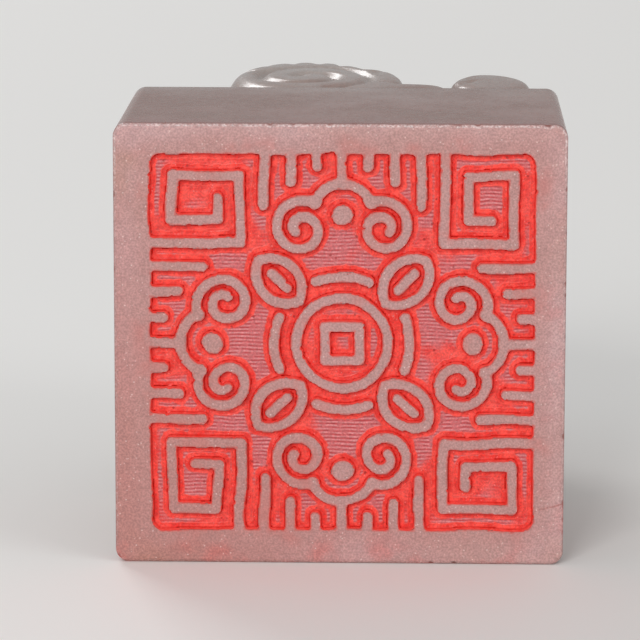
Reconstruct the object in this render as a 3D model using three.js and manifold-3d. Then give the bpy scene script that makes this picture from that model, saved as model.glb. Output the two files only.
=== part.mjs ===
// A square stone seal lying on one of its sides, with its printing face towards -Y.
// The whole seal is carved out of one square bar of soapstone: a short block with a crouching
// guardian beast on its top end, which flattens where it reaches the sides of the bar. The printing
// face has a sunken field with a raised line ornament of a coin, clouds, leaves and corner frets, and
// dried red seal paste lies in the sunken ground between the lines.
// Millimetres. X runs across the face, Z is up, and Y runs along the bar from the face to the beast.

import * as THREE from "three";
import { mergeVertices } from "three/addons/utils/BufferGeometryUtils.js";
import Module from "manifold-3d";

// The bar of stone.
const FACE_WIDTH = 30;
const FACE_HEIGHT = 29.7;
const BLOCK_LENGTH = 20.3;
const LONG_EDGE_RADIUS = 0.9;
const FACE_EDGE_BEVEL = 0.25;
const TOP_EDGE_ROUNDING = 0.7;

// The sunken field of the printing face, inside a raised border band.
const BAND_LEFT = 2.4;
const BAND_RIGHT = 2.05;
const BAND_TOP = 1.95;
const BAND_BOTTOM = 2.3;
const FIELD_CORNER_RADIUS = 0.8;
const FIELD_DEPTH = 0.7;

// The raised lines, which all share one width, and the ornament that they draw. Its sizes are for a
// field that reaches ORNAMENT_HALF from its middle, and its centrelines stretch to the real field.
const LINE_WIDTH = 0.64;
const LINE_ROOT = 0.3;
const ORNAMENT_HALF = 12.75;
const COIN_RADIUS = 3.05;
const COIN_SQUARE = 2.3;
const HALO_RADIUS = 4.5;
const HALO_SPAN = 46;
const LEAF_START = 4.0;
const LEAF_LENGTH = 3.9;
const LEAF_HALF_WIDTH = 1.3;
const LEAF_VEIN = 1.5;
const CLOUD_DISTANCE = 7.75;
const CLOUD_SPREAD = 2.7;
const SCROLL_OUTER = 1.95;
const SCROLL_INNER = 0.45;
const SCROLL_TURNS = 1.4;
const CROWN_RADIUS = 2.05;
const CROWN_RISE = 0.95;
const PEARL_RADIUS = 0.68;
const PEARL_RISE = 0.9;
const FRET_SIZE = 6.0;
const FRET_PITCH = 1.52;
const FRET_MARGIN = 1.45;
const FRET_ARMS = 6;
const RAY_SHORT = 0.9;
const RAY_MIDDLE = 1.9;
const RAY_LONG = 3.5;
const RAY_SPACING = 1.72;

// The paste in the sunken ground.
const PASTE_THICKNESS = 0.3;
const PASTE_CLEARANCE = 0.08;

// The beast, whose own proportions are in the design units of its section below.
const BEAST_HEIGHT = 24;
const FLANK_INSET = 0.12;
const FLANK_TURN = 1.2;
const HEAD_TURN = 38;
const HEAD_SCALE = 1.2;
const BACK_KNOBS = 6;
const TOES = 3;

// The grooves of the carving: how deep they are under the skin, half their width at the skin, and how
// far the cutter that makes them reaches above it.
const SPIRAL_GROOVE = { depth: 0.5, halfWidth: 0.45 };
const SWIRL_GROOVE = { depth: 0.4, halfWidth: 0.38 };
const TUFT_GROOVE = { depth: 0.38, halfWidth: 0.38 };
const SCUTE_GROOVE = { depth: 0.35, halfWidth: 0.3 };
const GROOVE_RISE = 0.25;
const TUFT_STARTS = [158, 132, 106, 80, 54];
const SCUTES = [
  { height: 10.2, reach: 4.8 },
  { height: 8.2, reach: 5.5 },
  { height: 6.2, reach: 5.7 },
  { height: 4.2, reach: 5.4 },
  { height: 2.2, reach: 4.8 },
];

const PINK_STONE = { color: 0xc9a59f, roughness: 0.5, metalness: 0 };
const RED_PASTE = { color: 0xf0281c, roughness: 0.65, metalness: 0 };

const wasm = await Module();
wasm.setup();
const { Manifold, Mesh: ManifoldMesh } = wasm;

// Solids from three.js geometries, and back.

function solid(geometry) {
  const bare = geometry.clone();
  bare.deleteAttribute("normal");
  bare.deleteAttribute("uv");
  const merged = mergeVertices(bare, 1e-4);
  return new Manifold(
    new ManifoldMesh({
      numProp: 3,
      vertProperties: merged.attributes.position.array,
      triVerts: new Uint32Array(merged.index.array),
    }),
  );
}

function joined(solids) {
  return solids.reduce((whole, next) => whole.add(next));
}

function mesh(name, shape, finish) {
  const made = shape.getMesh();
  const geometry = new THREE.BufferGeometry();
  geometry.setAttribute("position", new THREE.BufferAttribute(made.vertProperties, 3));
  geometry.setIndex(new THREE.BufferAttribute(made.triVerts, 1));
  geometry.computeVertexNormals();
  const result = new THREE.Mesh(geometry, new THREE.MeshStandardMaterial(finish));
  result.name = name;
  return result;
}

// A flat shape, drawn in X and Z as the face is looked at, made a slab from one Y to another.
function slab(shape, from, to, options = {}) {
  const geometry = new THREE.ExtrudeGeometry(shape, {
    depth: to - from,
    bevelEnabled: false,
    curveSegments: 8,
    ...options,
  });
  return solid(geometry.rotateX(Math.PI / 2).translate(0, to, 0));
}

function roundedRectangle(left, right, bottom, top, radius) {
  const shape = new THREE.Shape();
  shape.absarc(right - radius, bottom + radius, radius, -Math.PI / 2, 0);
  shape.absarc(right - radius, top - radius, radius, 0, Math.PI / 2);
  shape.absarc(left + radius, top - radius, radius, Math.PI / 2, Math.PI);
  shape.absarc(left + radius, bottom + radius, radius, Math.PI, Math.PI * 1.5);
  shape.closePath();
  return shape;
}

// The block. Two bars, one bevelled for the crisp face edge and one rounded for the soft top edge,
// each reach past the end where the other one is shaped, and the block is what they share.

function bar(bevel, segments, from, to) {
  const half = FACE_WIDTH / 2 - bevel;
  const outline = roundedRectangle(-half, half, bevel, FACE_HEIGHT - bevel, LONG_EDGE_RADIUS);
  return slab(outline, from + bevel, to - bevel, {
    bevelEnabled: true,
    bevelThickness: bevel,
    bevelSize: bevel,
    bevelSegments: segments,
    curveSegments: 5,
  });
}

function block() {
  const crispFace = bar(FACE_EDGE_BEVEL, 1, 0, BLOCK_LENGTH + FACE_WIDTH);
  const softTop = bar(TOP_EDGE_ROUNDING, 3, -FACE_WIDTH, BLOCK_LENGTH);
  return crispFace.intersect(softTop);
}

// The ornament. Every line is a ribbon along a centreline, with mitred corners and round ends.

function ribbon(points, width, closed = false) {
  const half = width / 2;
  const count = points.length;
  const sides = points.map((point, i) => {
    const before = points[closed ? (i + count - 1) % count : Math.max(i - 1, 0)];
    const after = points[closed ? (i + 1) % count : Math.min(i + 1, count - 1)];
    const arriving = point.clone().sub(before).normalize();
    const leaving = after.clone().sub(point).normalize();
    if (arriving.lengthSq() === 0) arriving.copy(leaving);
    if (leaving.lengthSq() === 0) leaving.copy(arriving);
    const along = arriving.add(leaving).normalize();
    const normal = new THREE.Vector2(-along.y, along.x);
    const reach = half / Math.max(0.5, Math.abs(along.dot(leaving)));
    return [reach, -reach].map((offset) => point.clone().addScaledVector(normal, offset));
  });
  const left = sides.map(([side]) => side);
  const right = sides.map(([, side]) => side);
  if (closed) {
    const [outer, inner] = [left, right].sort((a, b) => size(b) - size(a));
    const shape = new THREE.Shape(THREE.ShapeUtils.isClockWise(outer) ? outer.reverse() : outer);
    shape.holes.push(new THREE.Path(inner));
    return shape;
  }
  const last = count - 1;
  const endCap = cap(points[last], left[last], half);
  const startCap = cap(points[0], right[0], half);
  return new THREE.Shape([...left, ...endCap, ...right.reverse(), ...startCap]);
}

function size(ring) {
  return Math.abs(THREE.ShapeUtils.area(ring));
}

// Half a circle round the end of a ribbon, clockwise from one side to the other, without its ends.
function cap(centre, from, radius) {
  const start = from.clone().sub(centre).angle();
  return [1, 2].map((step) => {
    const angle = start - (step * Math.PI) / 3;
    return new THREE.Vector2(centre.x + radius * Math.cos(angle), centre.y + radius * Math.sin(angle));
  });
}

function point(x, y) {
  return new THREE.Vector2(x, y);
}

// An arc, or a spiral where the two radii differ, in degrees.
function sweep(centre, radiusFrom, radiusTo, angleFrom, angleTo, steps) {
  return Array.from({ length: steps + 1 }, (_, i) => {
    const share = i / steps;
    const radius = THREE.MathUtils.lerp(radiusFrom, radiusTo, share);
    const angle = THREE.MathUtils.degToRad(THREE.MathUtils.lerp(angleFrom, angleTo, share));
    return point(centre.x + radius * Math.cos(angle), centre.y + radius * Math.sin(angle));
  });
}

const FIELD = {
  left: BAND_LEFT - FACE_WIDTH / 2,
  right: FACE_WIDTH / 2 - BAND_RIGHT,
  bottom: BAND_BOTTOM,
  top: FACE_HEIGHT - BAND_TOP,
};
const FIELD_CENTRE = point((FIELD.left + FIELD.right) / 2, (FIELD.bottom + FIELD.top) / 2);
const FIELD_STRETCH = point(FIELD.right - FIELD.left, FIELD.top - FIELD.bottom).divideScalar(
  2 * ORNAMENT_HALF,
);

// The ornament is one quarter, turned four times about the middle of the field, and the coin.
// Each line is a centreline in the quarter's own axes, whose Y runs from the middle to the band.

function placed(line, turn) {
  return line.map((p) =>
    p.clone().rotateAround(point(0, 0), (turn * Math.PI) / 2).multiply(FIELD_STRETCH).add(FIELD_CENTRE),
  );
}

function cloudLines() {
  const crown = point(0, CLOUD_DISTANCE + CROWN_RISE);
  const scrollEnd = 118;
  const scroll = sweep(
    point(CLOUD_SPREAD, CLOUD_DISTANCE),
    SCROLL_INNER,
    SCROLL_OUTER,
    scrollEnd - 360 * SCROLL_TURNS,
    scrollEnd,
    15,
  );
  return [
    scroll,
    scroll.map((p) => point(-p.x, p.y)),
    sweep(crown, CROWN_RADIUS, CROWN_RADIUS, 20, 160, 7),
    [point(0, crown.y + CROWN_RADIUS), point(0, ORNAMENT_HALF + LINE_WIDTH)],
  ];
}

// Short lines that come in from the band on both sides of a cloud, longer towards the corners.
function rayLines() {
  return [RAY_SHORT, RAY_MIDDLE, RAY_LONG].flatMap((length, i) =>
    [-1, 1].map((side) => {
      const x = side * (i + 1) * RAY_SPACING;
      return [point(x, ORNAMENT_HALF + LINE_WIDTH), point(x, ORNAMENT_HALF - length)];
    }),
  );
}

// A square spiral that leaves the band and winds into its corner. Its turning points step in by one
// pitch a round, and each arm changes only one coordinate, both counted from the field's corner.
function fretLine() {
  const reach = (arm) => {
    const round = Math.floor(arm / 4) * FRET_PITCH;
    return Math.floor(arm / 2) % 2 === 0 ? FRET_SIZE - round : FRET_MARGIN + round;
  };
  const at = (x, y) => point(ORNAMENT_HALF - x, ORNAMENT_HALF - y);
  const line = [at(reach(0), -LINE_WIDTH)];
  for (let arm = 1; arm <= FRET_ARMS; arm++) {
    const [latest, held] = [reach(arm), reach(arm - 1)];
    line.push(arm % 2 === 1 ? at(held, latest) : at(latest, held));
  }
  return line;
}

function leafOutline() {
  const half = LEAF_LENGTH / 2;
  const radius = (half * half + LEAF_HALF_WIDTH * LEAF_HALF_WIDTH) / (2 * LEAF_HALF_WIDTH);
  const reach = THREE.MathUtils.radToDeg(Math.asin(half / radius));
  const offset = radius - LEAF_HALF_WIDTH;
  const middle = LEAF_START + half;
  const upper = sweep(point(middle, -offset), radius, radius, 90 + reach, 90 - reach, 6);
  const lower = sweep(point(middle, offset), radius, radius, -90 + reach, -90 - reach, 6);
  return [...upper, ...lower.slice(1, -1)].map((p) => p.rotateAround(point(0, 0), Math.PI / 4));
}

function leafVein() {
  const middle = LEAF_START + LEAF_LENGTH / 2;
  return [point(middle - LEAF_VEIN / 2, 0), point(middle + LEAF_VEIN / 2, 0)].map((p) =>
    p.rotateAround(point(0, 0), Math.PI / 4),
  );
}

function ornament(extra) {
  const width = LINE_WIDTH + extra;
  const halo = sweep(point(0, 0), HALO_RADIUS, HALO_RADIUS, 90 - HALO_SPAN / 2, 90 + HALO_SPAN / 2, 4);
  const pearlCentre = point(0, CLOUD_DISTANCE + PEARL_RISE);
  const pearl = sweep(pearlCentre, PEARL_RADIUS + extra / 2, PEARL_RADIUS + extra / 2, 0, 320, 8);
  const shapes = [];
  for (let turn = 0; turn < 4; turn++) {
    const open = [...cloudLines(), ...rayLines(), fretLine(), leafVein(), halo];
    shapes.push(...open.map((line) => ribbon(placed(line, turn), width)));
    shapes.push(ribbon(placed(leafOutline(), turn), width, true));
    shapes.push(new THREE.Shape(placed(pearl, turn)));
  }
  const coin = sweep(point(0, 0), COIN_RADIUS, COIN_RADIUS, 0, 342, 19);
  const half = COIN_SQUARE / 2;
  const square = [point(half, half), point(-half, half), point(-half, -half), point(half, -half)];
  shapes.push(ribbon(placed(coin, 0), width, true), ribbon(placed(square, 0), width, true));
  return shapes;
}

function reliefLines(extra, from, to) {
  return joined(ornament(extra).map((shape) => slab(shape, from, to)));
}

function field(inset, from, to) {
  const outline = roundedRectangle(
    FIELD.left + inset,
    FIELD.right - inset,
    FIELD.bottom + inset,
    FIELD.top - inset,
    FIELD_CORNER_RADIUS - inset,
  );
  return slab(outline, from, to);
}

// The beast, in design units: x runs from tail to head, y up from the block's top end, and z out to
// the flanks. It is stretched to the real bar and height at the end.

const UNITS_ACROSS = 30;
const UNITS_TALL = 24;
const UP = new THREE.Vector3(0, 1, 0);
const CHEST = { at: [9.2, 6.8, 0], radii: [4.6, 7.2, 7.6] };
const HAUNCH = { at: [-3.4, 8.4, 10.6], radii: [6.6, 10.4, 7.2] };
const SHOULDER = { at: [7.4, 9.4, 8.2], radii: [4.8, 6.8, 5.2] };

// The beast is carved out of the bar, so its forms flatten where they reach the sides of the bar,
// with a rounded turn into the flat.
function held(value) {
  const limit = UNITS_ACROSS / 2 - FLANK_INSET;
  const size = Math.abs(value);
  const turn = Math.max(FLANK_TURN - Math.abs(size - limit), 0);
  return Math.sign(value) * (Math.min(size, limit) - (turn * turn) / (4 * FLANK_TURN));
}

// A flat-sided round whose flats lie as far inside a true circle as its corners lie outside it.
function fuller(sides) {
  return 2 / (1 + Math.cos(Math.PI / sides));
}

// A rounded boulder of a form: a sphere with three radii, leaned about z.
function boulder(at, radii, lean, segments) {
  const geometry = new THREE.SphereGeometry(fuller(segments), segments, Math.round(segments / 2));
  geometry.scale(...radii);
  geometry.rotateZ(THREE.MathUtils.degToRad(lean)).translate(...at);
  const vertices = geometry.attributes.position;
  for (let i = 0; i < vertices.count; i++) {
    vertices.setX(i, held(vertices.getX(i)));
    vertices.setZ(i, held(vertices.getZ(i)));
  }
  return solid(geometry);
}

function mirrored([x, y, z], side) {
  return [x, y, side * z];
}

function ball(at, radius, segments) {
  return boulder(at, [radius, radius, radius], 0, segments);
}

function smooth(points) {
  return new THREE.CatmullRomCurve3(points, false, "catmullrom");
}

// A limb lofted through stations [x, y, z, radius, width share]: an oval section that swells and
// tapers along a smooth curve, closed by a dome at each end.
function limb(stations, rings = 6, sides = 8) {
  const path = smooth(stations.map((s) => new THREE.Vector3(s[0], s[1], s[2])));
  const girth = smooth(stations.map((s) => new THREE.Vector3(s[3] * fuller(sides), s[4] ?? 1, 0)));
  const sections = Array.from({ length: rings + 1 }, (_, i) => ({ share: i / rings, dome: 0 }));
  sections.unshift({ share: 0, dome: -0.7 });
  sections.push({ share: 1, dome: 0.7 });
  const positions = [];
  let side = new THREE.Vector3().crossVectors(path.getTangent(0), UP);
  if (side.lengthSq() < 0.01) side.set(0, 0, 1);
  const poles = [-1, 1].map((end) => {
    const share = (end + 1) / 2;
    return path.getPoint(share).addScaledVector(path.getTangent(share), end * girth.getPoint(share).x);
  });
  for (const { share, dome } of sections) {
    const tangent = path.getTangent(share);
    side = side.clone().addScaledVector(tangent, -side.dot(tangent)).normalize();
    const lift = new THREE.Vector3().crossVectors(side, tangent);
    const { x: radius, y: widthShare } = girth.getPoint(share);
    const ring = radius * Math.sqrt(1 - dome * dome);
    const centre = path.getPoint(share).addScaledVector(tangent, dome * radius);
    for (let k = 0; k < sides; k++) {
      const angle = (2 * Math.PI * k) / sides;
      const vertex = centre
        .clone()
        .addScaledVector(side, ring * widthShare * Math.cos(angle))
        .addScaledVector(lift, ring * Math.sin(angle));
      positions.push(held(vertex.x), vertex.y, held(vertex.z));
    }
  }
  const startPole = positions.length / 3;
  for (const pole of poles) positions.push(held(pole.x), pole.y, held(pole.z));
  const index = [];
  for (let j = 0; j + 1 < sections.length; j++) {
    for (let k = 0; k < sides; k++) {
      const [a, b] = [j * sides + k, j * sides + ((k + 1) % sides)];
      index.push(a, a + sides, b, b, a + sides, b + sides);
    }
  }
  const lastRing = (sections.length - 1) * sides;
  for (let k = 0; k < sides; k++) {
    const next = (k + 1) % sides;
    index.push(startPole, k, next, startPole + 1, lastRing + next, lastRing + k);
  }
  const geometry = new THREE.BufferGeometry();
  geometry.setAttribute("position", new THREE.Float32BufferAttribute(positions, 3));
  geometry.setIndex(index);
  return solid(geometry);
}

function torso() {
  const barrel = [
    [-8.4, 8, 0, 6, 1.2],
    [-3.5, 9.2, 0, 8.4, 1.2],
    [2.5, 9.4, 0, 8.2, 1.1],
    [7.5, 9, 0, 6.8, 1.1],
  ];
  return [
    limb(barrel, 4, 12),
    boulder(CHEST.at, CHEST.radii, 0, 12),
    boulder([-8.8, 6.8, 0], [4.4, 6.6, 7.6], 0, 10),
    limb([[4.5, 11, 0, 6.4], [6.6, 14.6, 0.8, 5.4]], 1, 10),
  ];
}

// The middle of each toe across a foot, counted from the foot's own middle.
function toeSpreads(pitch) {
  return Array.from({ length: TOES }, (_, i) => (i - (TOES - 1) / 2) * pitch);
}

// A toe and the claw at its tip.
function toe(x, y, z, size, segments) {
  return [
    boulder([x, y, z], [1.35 * size, 1.3 * size, 0.98 * size], 0, segments),
    boulder([x + 1.3, y - 0.25, z], [0.65, 0.5, 0.42], -30, 4),
  ];
}

function hindquarter(side) {
  const foot = [
    [-2, 2.1, side * 12.3, 2.3],
    [2.5, 1.9, side * 12.6, 2.2, 1.15],
    [5.4, 1.5, side * 12.5, 2, 1.35],
  ];
  return [
    boulder(mirrored(HAUNCH.at, side), HAUNCH.radii, 2, 16),
    boulder([1.2, 6.2, side * 10.6], [3, 7.6, 7.2], 0, 10),
    limb(foot, 2, 8),
    boulder([-8.6, 3.2, side * 8.8], [3.2, 4.6, 4.4], 0, 8),
    ...toeSpreads(1.75).flatMap((spread) =>
      toe(6.6 - 0.23 * Math.abs(spread), 0.9, side * 12.4 + spread, 1, 6),
    ),
  ];
}

function forequarter(side) {
  return [
    boulder(mirrored(SHOULDER.at, side), SHOULDER.radii, -14, 10),
    boulder([10.3, 4.4, side * 11.2], [3.3, 6, 6.4], 4, 12),
    boulder([11.4, 1.6, side * 11.8], [2.6, 2.3, 3.2], 0, 7),
    boulder([3.4, 4.2, side * 8.8], [5.2, 4.6, 4.6], 0, 7),
    ...toeSpreads(1.95).flatMap((spread) =>
      toe(12.8 - 0.26 * Math.abs(spread), 1.15, side * 11.7 + spread, 1.12, 6),
    ),
  ];
}

// The head in its own axes, looking along x, before it is turned to one side and set on the neck.
function head() {
  const forms = [
    boulder([-0.4, 0.4, 0], [4.6, 4.5, 4.7], 0, 10),
    limb([[1.5, -0.6, 0, 3, 1.15], [4.4, -0.8, 0, 2.3, 1.35], [6, -0.8, 0, 1.6, 1.5]], 2, 8),
    limb([[3, 2.1, 0, 1.1, 1.2], [5.2, 1.3, 0, 0.9, 1.3], [6.9, 0.7, 0, 0.8, 1.3]], 2, 6),
    boulder([7.3, 0.3, 0], [1, 0.85, 1.2], 0, 6),
    boulder([3.3, 3.7, 0], [1.3, 1.1, 1.1], 0, 6),
    limb([[0.6, -4, 0, 1.7, 1.9], [3.8, -4.7, 0, 1.3, 1.9], [5.9, -4.5, 0, 0.95, 2]], 2, 8),
    limb([[3, -3.4, 0, 0.9, 1.6], [5.6, -3.4, 0, 0.6, 1.9]], 1, 6),
  ];
  for (const side of [-1, 1]) {
    const fang = [[6.5, -2.2, side * 2.1, 0.55], [6.7, -3.2, side * 2.1, 0.4], [6.6, -4, side * 2.05, 0.15]];
    const brow = [
      [5.6, 2.9, side * 0.6, 0.6],
      [4.8, 3.9, side * 1.8, 0.95],
      [3.2, 4.2, side * 3.4, 1],
      [1.4, 3.8, side * 4.7, 0.6],
    ];
    const ear = [
      [0.4, 2.2, side * 4.4, 0.9, 0.7],
      [-0.8, 3.4, side * 5.6, 1.4, 0.6],
      [-2.4, 4.3, side * 6.1, 0.4, 0.6],
    ];
    const horn = [
      [1.8, 4.3, side * 1.2, 0.95],
      [-0.8, 5.6, side * 1.5, 0.95],
      [-3.4, 5.5, side * 1.9, 0.75],
      [-5.2, 4.6, side * 2.1, 0.35],
    ];
    forms.push(
      boulder([6.2, -1.2, side * 1.55], [1.55, 1.3, 1.6], 0, 7),
      boulder([7.15, 0.1, side * 1.1], [0.85, 0.65, 0.62], 0, 6),
      limb(fang, 1, 4),
      ball([4.2, 1.75, side * 2.35], 1.3, 7),
      limb(brow, 3, 5),
      limb(ear, 2, 5),
      limb(horn, 3, 5),
      ball([2.2, -1.6, side * 3.9], 1.9, 7),
      ball([0.2, -4, side * 4.1], 1.55, 7),
      ball([2.9, -5.6, side * 2.9], 1.35, 6),
      ball([4.7, -6, side * 1.15], 1.2, 6),
    );
  }
  return joined(forms);
}

// Curls all round the back of the head, in rings about the line that runs out of its back.
function mane() {
  const rings = [
    { away: 0, curls: 1, radius: 1.7 },
    { away: 38, curls: 6, radius: 1.65 },
    { away: 72, curls: 10, radius: 1.6 },
  ];
  return joined(
    rings.flatMap(({ away, curls, radius }) =>
      Array.from({ length: curls }, (_, i) => {
        const lean = THREE.MathUtils.degToRad(away);
        const angle = (2 * Math.PI * (i + 0.5)) / curls;
        const out = new THREE.Vector3(-1, 0, 0).multiplyScalar(Math.cos(lean));
        out.add(new THREE.Vector3(0, Math.cos(angle), Math.sin(angle)).multiplyScalar(Math.sin(lean)));
        return ball(out.multiplyScalar(5.1).add(new THREE.Vector3(-0.7, 0.1, 0)).toArray(), radius, 7);
      }),
    ),
  );
}

// The plume up the middle of the rump, with a short flame and two curls on each side.
function tail() {
  const plume = [
    [-12.4, 2.2, 0, 1.3, 1.2],
    [-13.1, 6, 0, 1.7, 1.3],
    [-12.6, 10, 0, 1.8, 1.4],
    [-8.9, 15.6, 0, 0.7],
  ];
  const forms = [limb(plume, 5, 7)];
  for (const side of [-1, 1]) {
    forms.push(
      limb([[-12.4, 7, side * 1.6, 1], [-11.8, 7.9, side * 4.2, 1.1], [-10.4, 7.8, side * 6.6, 0.5]], 2, 5),
      ball([-11.5, 4.8, side * 5.4], 2.2, 8),
      ball([-10.9, 10.8, side * 4.4], 2.1, 8),
    );
  }
  return forms;
}

function backKnobs() {
  return Array.from({ length: BACK_KNOBS }, (_, i) => {
    const x = THREE.MathUtils.lerp(-6.7, 2.2, i / (BACK_KNOBS - 1));
    return boulder([x, 17.75 - 0.04 * (x + 0.5) ** 2, 0], [1, 1, 1.3], 0, 6);
  });
}

// The main lines of the carving are grooves of a V section, cut along a line on the skin. At each
// point of the line, facing is the direction that the skin faces there.
function groove(line, facings, { depth, halfWidth }) {
  const last = line.length - 1;
  const halfWidthAbove = halfWidth * (1 + GROOVE_RISE / depth);
  const positions = [];
  line.forEach((at, i) => {
    const facing = facings[i];
    const ahead = line[Math.min(i + 1, last)].clone().sub(line[Math.max(i - 1, 0)]);
    const across = new THREE.Vector3().crossVectors(ahead, facing).setLength(halfWidthAbove);
    const above = at.clone().addScaledVector(facing, GROOVE_RISE);
    positions.push(...at.clone().addScaledVector(facing, -depth).toArray());
    positions.push(...above.clone().add(across).toArray(), ...above.clone().sub(across).toArray());
  });
  const index = [0, 1, 2, 3 * last, 3 * last + 2, 3 * last + 1];
  for (let i = 0; i < last; i++) {
    for (let k = 0; k < 3; k++) {
      const [a, b] = [3 * i + k, 3 * i + ((k + 1) % 3)];
      index.push(a, a + 3, b, b, a + 3, b + 3);
    }
  }
  const geometry = new THREE.BufferGeometry();
  geometry.setAttribute("position", new THREE.Float32BufferAttribute(positions, 3));
  geometry.setIndex(index);
  return solid(geometry);
}

// A groove on one of the boulders: its line runs through directions from the boulder's middle, and
// lies on the boulder's skin, flattened where the boulder is.
function grooveOn(form, directions, side, section) {
  const line = directions.map(([x, y, z]) => {
    const at = new THREE.Vector3(...form.radii).multiply(new THREE.Vector3(x, y, z).normalize());
    at.add(new THREE.Vector3(...form.at));
    return new THREE.Vector3(at.x, at.y, side * held(at.z));
  });
  const facings = directions.map(([x, y, z]) =>
    new THREE.Vector3(x, y, side * z).divide(new THREE.Vector3(...form.radii)).normalize(),
  );
  return groove(line, facings, section);
}

function shares(steps) {
  return Array.from({ length: steps + 1 }, (_, i) => i / steps);
}

// A spiral on the flat of each haunch, with tufts that curve down round the haunch's back.
function haunchGrooves(side) {
  const facing = new THREE.Vector3(0, 0, side);
  const spiral = shares(15).map((share) => {
    const angle = THREE.MathUtils.degToRad(170 - 600 * share);
    const reach = 0.9 + 4.5 * share;
    return new THREE.Vector3(
      -3.3 + reach * Math.cos(angle),
      7.6 + 1.3 * reach * Math.sin(angle),
      side * (UNITS_ACROSS / 2 - FLANK_INSET),
    );
  });
  const tufts = TUFT_STARTS.map((start) =>
    shares(2).map((share) => {
      const height = THREE.MathUtils.degToRad(start + 26 * share ** 1.5);
      const out = THREE.MathUtils.degToRad(50 - 40 * share);
      return [Math.cos(height) * Math.cos(out), Math.sin(height) * Math.cos(out), Math.sin(out)];
    }),
  );
  return [
    groove(spiral, spiral.map(() => facing), SPIRAL_GROOVE),
    ...tufts.map((tuft) => grooveOn(HAUNCH, tuft, side, TUFT_GROOVE)),
  ];
}

function shoulderSwirl(side) {
  const swirl = shares(8).map((share) => {
    const angle = THREE.MathUtils.degToRad(60 - 470 * share * side);
    const reach = 0.2 + 0.7 * share;
    return [Math.cos(angle) * Math.sin(reach), Math.sin(angle) * Math.sin(reach), Math.cos(reach)];
  });
  return grooveOn(SHOULDER, swirl, side, SWIRL_GROOVE);
}

// Level scutes on the chest, each bent down in the middle.
function chestScutes() {
  const facing = new THREE.Vector3(1, 0, 0);
  return SCUTES.map(({ height, reach }) => {
    const line = shares(4).map((share) => {
      const bend = 2 * share - 1;
      const x = 13.9 - 1.5 * bend ** 2 - 0.035 * (height - 6.8) ** 2;
      return new THREE.Vector3(x, height - 0.6 * (1 - bend ** 2), bend * reach);
    });
    return groove(line, line.map(() => facing), SCUTE_GROOVE);
  });
}

function beast() {
  const turned = new THREE.Matrix4()
    .makeTranslation(5.9, 16.3, 1)
    .multiply(new THREE.Matrix4().makeRotationY(THREE.MathUtils.degToRad(-HEAD_TURN)))
    .scale(new THREE.Vector3(HEAD_SCALE, HEAD_SCALE, HEAD_SCALE));
  const headAndMane = head().add(mane()).transform(turned.elements);
  const forms = [
    ...torso(),
    ...tail(),
    ...backKnobs(),
    headAndMane,
    ...[-1, 1].flatMap((side) => [...hindquarter(side), ...forequarter(side)]),
  ];
  const stretch = new THREE.Matrix4()
    .makeTranslation(0, BLOCK_LENGTH, FACE_HEIGHT / 2)
    .scale(
      new THREE.Vector3(FACE_WIDTH / UNITS_ACROSS, BEAST_HEIGHT / UNITS_TALL, FACE_HEIGHT / UNITS_ACROSS),
    );
  const flankGrooves = [-1, 1].flatMap((side) => [...haunchGrooves(side), shoulderSwirl(side)]);
  return joined(forms)
    .subtract(joined([...flankGrooves, ...chestScutes()]))
    .transform(stretch.elements);
}

// The hollows that the forms of the beast close in between them are stone too, so only the outer
// skin of what they make together is kept.
function stone() {
  const carvedFace = block()
    .subtract(field(0, -1, FIELD_DEPTH))
    .add(reliefLines(0, 0, FIELD_DEPTH + LINE_ROOT).intersect(field(-LINE_ROOT, 0, FIELD_DEPTH + LINE_ROOT)));
  const skins = carvedFace.add(beast()).decompose();
  return skins.reduce((largest, skin) => (skin.volume() > largest.volume() ? skin : largest));
}

// The paste, one piece for each part of the ground that the raised lines close off.

function pastePlaces() {
  const leaf = (LEAF_START + LEAF_LENGTH / 2) * Math.SQRT1_2;
  const besideVein = ((LEAF_HALF_WIDTH + LINE_WIDTH / 2) / 2) * Math.SQRT1_2;
  const places = [
    ["paste_coin_square", point(0, 0)],
    ["paste_coin_ring", point((COIN_RADIUS + COIN_SQUARE / 2) / 2, 0)],
    ["paste_ground", point((COIN_RADIUS + HALO_RADIUS) / 2, 0)],
  ];
  const corners = ["top_right", "top_left", "bottom_left", "bottom_right"];
  return [
    ...places.map(([name, at]) => [name, ...placed([at], 0)]),
    ...corners.map((corner, turn) => [
      "paste_leaf_" + corner,
      ...placed([point(leaf - besideVein, leaf + besideVein)], turn),
    ]),
  ];
}

function paste() {
  const back = FIELD_DEPTH;
  const front = FIELD_DEPTH - PASTE_THICKNESS;
  const pools = field(PASTE_CLEARANCE, front, back)
    .subtract(reliefLines(2 * PASTE_CLEARANCE, front - 1, back + 1))
    .decompose();
  return pastePlaces().map(([name, { x, y: z }]) => {
    const probe = solid(new THREE.BoxGeometry(0.05, PASTE_THICKNESS, 0.05).translate(x, front, z));
    const pool = pools.find((candidate) => candidate.intersect(probe).volume() > 0);
    return mesh(name, pool, RED_PASTE);
  });
}

// The seal, set down with the middle of its box over the origin.
const seal = new THREE.Group();
seal.add(mesh("seal_stone", stone(), PINK_STONE), ...paste());
const box = new THREE.Box3().setFromObject(seal);
seal.position.y = -(box.min.y + box.max.y) / 2;

const part = new THREE.Group();
part.add(seal);

export default part;
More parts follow.
